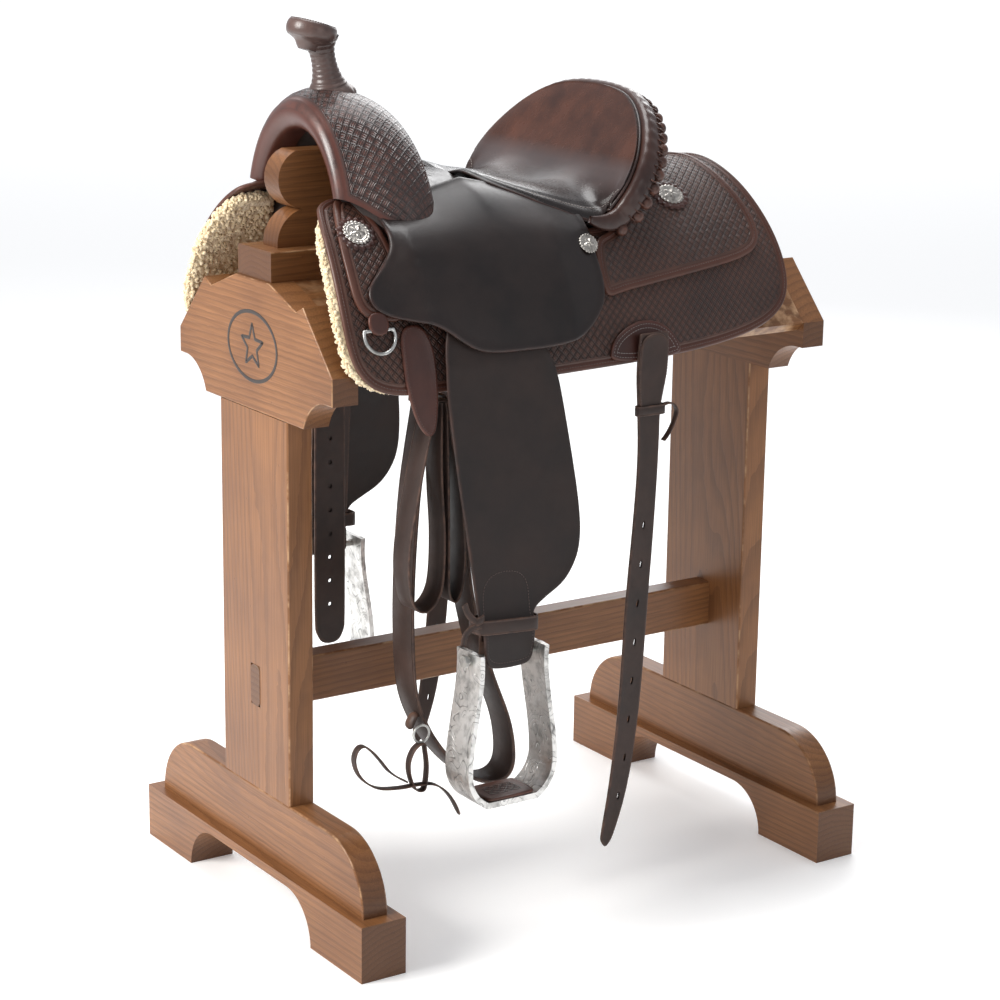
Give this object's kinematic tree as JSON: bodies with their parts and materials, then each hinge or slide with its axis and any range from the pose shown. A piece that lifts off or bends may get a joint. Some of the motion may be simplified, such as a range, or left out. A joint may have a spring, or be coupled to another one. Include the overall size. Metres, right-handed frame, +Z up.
{
  "type": "western saddle on saddle stand",
  "caption": "Western saddle with horn, padded seat, fenders, bell stirrups and hanging billets, on a two-post wooden floor stand.",
  "frame": {"origin": "on the floor at the middle of the stand", "axes": "+Z up, the front of the saddle at -X, the rider's left at -Y"},
  "size_m": [0.834, 0.624, 1.2093],
  "materials": {
    "stained_pine": "stained pine, satin clear coat, worn edges",
    "raw_tree_wood": "rough pine under rawhide",
    "tooled_leather": "chocolate oiled leather, basket-weave stamping",
    "smooth_leather": "near-black polished leather",
    "seat_leather": "polished brown seat leather",
    "red_leather": "reddish brown latigo leather",
    "fleece": "natural tan shearling",
    "foam": "seat foam",
    "steel": "plain steel",
    "silver": "engraved silver, antiqued",
    "stirrup_aluminium": "cast aluminium, engraved and worn",
    "rawhide": "laced rawhide"
  },
  "bodies": {
    "stand": {"front_base_board": "stained_pine", "front_base_cap": "stained_pine", "front_head_plate": "stained_pine", "front_post": "stained_pine", "head_dowels": "stained_pine", "lag_screws": "steel", "rear_base_board": "stained_pine", "rear_base_cap": "stained_pine", "rear_head_plate": "stained_pine", "rear_post": "stained_pine", "ridge_rail": "stained_pine", "roof_boards": "stained_pine", "spine_board": "stained_pine", "stretcher": "stained_pine"},
    "saddle": {"cantle_back": "tooled_leather", "cantle_board": "raw_tree_wood", "cantle_facing": "seat_leather", "cantle_lacing": "rawhide", "cantle_roll": "tooled_leather", "conchos": "silver", "dee_keepers": "tooled_leather", "fleece_lining": "fleece", "front_jockeys": "tooled_leather", "ground_seat": "steel", "horn": "steel", "horn_neck": "tooled_leather", "left_seat_jockey": "smooth_leather", "left_skirt": "tooled_leather", "rear_jockeys": "tooled_leather", "rear_rigging_plates": "tooled_leather", "rear_rosettes": "tooled_leather", "rigging_straps": "red_leather", "right_seat_jockey": "smooth_leather", "right_skirt": "tooled_leather", "seat_leather": "seat_leather", "seat_pad": "foam", "swell_cover": "tooled_leather", "tree_bars": "raw_tree_wood", "tree_fork": "raw_tree_wood"},
    "left_fender": {"left_fender": "smooth_leather", "left_stirrup_leather": "tooled_leather", "left_hobble_strap": "tooled_leather"},
    "right_fender": {"right_fender": "smooth_leather", "right_stirrup_leather": "tooled_leather", "right_hobble_strap": "tooled_leather"},
    "left_stirrup": {"left_stirrup": "stirrup_aluminium", "left_tread_pad": "tooled_leather", "left_stirrup_bolt": "steel"},
    "right_stirrup": {"right_stirrup": "stirrup_aluminium", "right_tread_pad": "tooled_leather", "right_stirrup_bolt": "steel"},
    "left_dee": {"left_dee_ring": "steel"},
    "right_dee": {"right_dee_ring": "steel"},
    "left_rear_billet": {"left_rear_billet": "tooled_leather"},
    "right_rear_billet": {"right_rear_billet": "tooled_leather"},
    "latigo": {"latigo": "smooth_leather"},
    "flank_cinch": {"flank_cinch": "smooth_leather"},
    "connector": {"connector_ring": "steel", "connector_strap": "tooled_leather"},
    "off_billet": {"right_off_billet": "tooled_leather"}
  },
  "joints": [
    {"name": "saddle_lift", "type": "slide", "parent": "stand", "child": "saddle", "axis": [0, 0, 1], "range_m": [0, 0.025]},
    {"name": "left_fender_swing", "type": "hinge", "parent": "saddle", "child": "left_fender", "pos_m": [-0.184, -0.22, 0.88], "axis": [0, 1, 0], "range_deg": [-10, 10]},
    {"name": "left_stirrup_tilt", "type": "hinge", "parent": "left_fender", "child": "left_stirrup", "pos_m": [-0.19, -0.284, 0.404], "axis": [-1, 0, 0], "range_deg": [0, 38]},
    {"name": "left_dee_flip", "type": "hinge", "parent": "saddle", "child": "left_dee", "pos_m": [-0.343, -0.22189, 0.83775], "axis": [-1, 0, 0], "range_deg": [0, 70]},
    {"name": "left_rear_billet_swing", "type": "hinge", "parent": "saddle", "child": "left_rear_billet", "pos_m": [0.07, -0.2463, 0.79], "axis": [0, 1, 0], "range_deg": [-10, 10]},
    {"name": "right_fender_swing", "type": "hinge", "parent": "saddle", "child": "right_fender", "pos_m": [-0.124, 0.22, 0.88], "axis": [0, 1, 0], "range_deg": [-5, 10]},
    {"name": "right_stirrup_tilt", "type": "hinge", "parent": "right_fender", "child": "right_stirrup", "pos_m": [-0.13, 0.284, 0.404], "axis": [1, 0, 0], "range_deg": [0, 38]},
    {"name": "right_dee_flip", "type": "hinge", "parent": "saddle", "child": "right_dee", "pos_m": [-0.343, 0.22189, 0.83775], "axis": [1, 0, 0], "range_deg": [0, 70]},
    {"name": "right_rear_billet_swing", "type": "hinge", "parent": "saddle", "child": "right_rear_billet", "pos_m": [0.07, 0.2463, 0.79], "axis": [0, 1, 0], "range_deg": [-10, 10]},
    {"name": "latigo_swing", "type": "hinge", "parent": "saddle", "child": "latigo", "pos_m": [-0.256, -0.216, 0.738], "axis": [0, 1, 0], "range_deg": [-6, 6]},
    {"name": "flank_cinch_swing", "type": "hinge", "parent": "saddle", "child": "flank_cinch", "pos_m": [-0.234, -0.166, 0.735], "axis": [0, 1, 0], "range_deg": [-6, 6]},
    {"name": "connector_swing", "type": "hinge", "parent": "flank_cinch", "child": "connector", "pos_m": [-0.266, -0.206, 0.2903], "axis": [0, 1, 0], "range_deg": [-20, 20]},
    {"name": "off_billet_swing", "type": "hinge", "parent": "saddle", "child": "off_billet", "pos_m": [-0.147, 0.238, 0.742], "axis": [0, 1, 0], "range_deg": [-8, 8]}
  ]
}
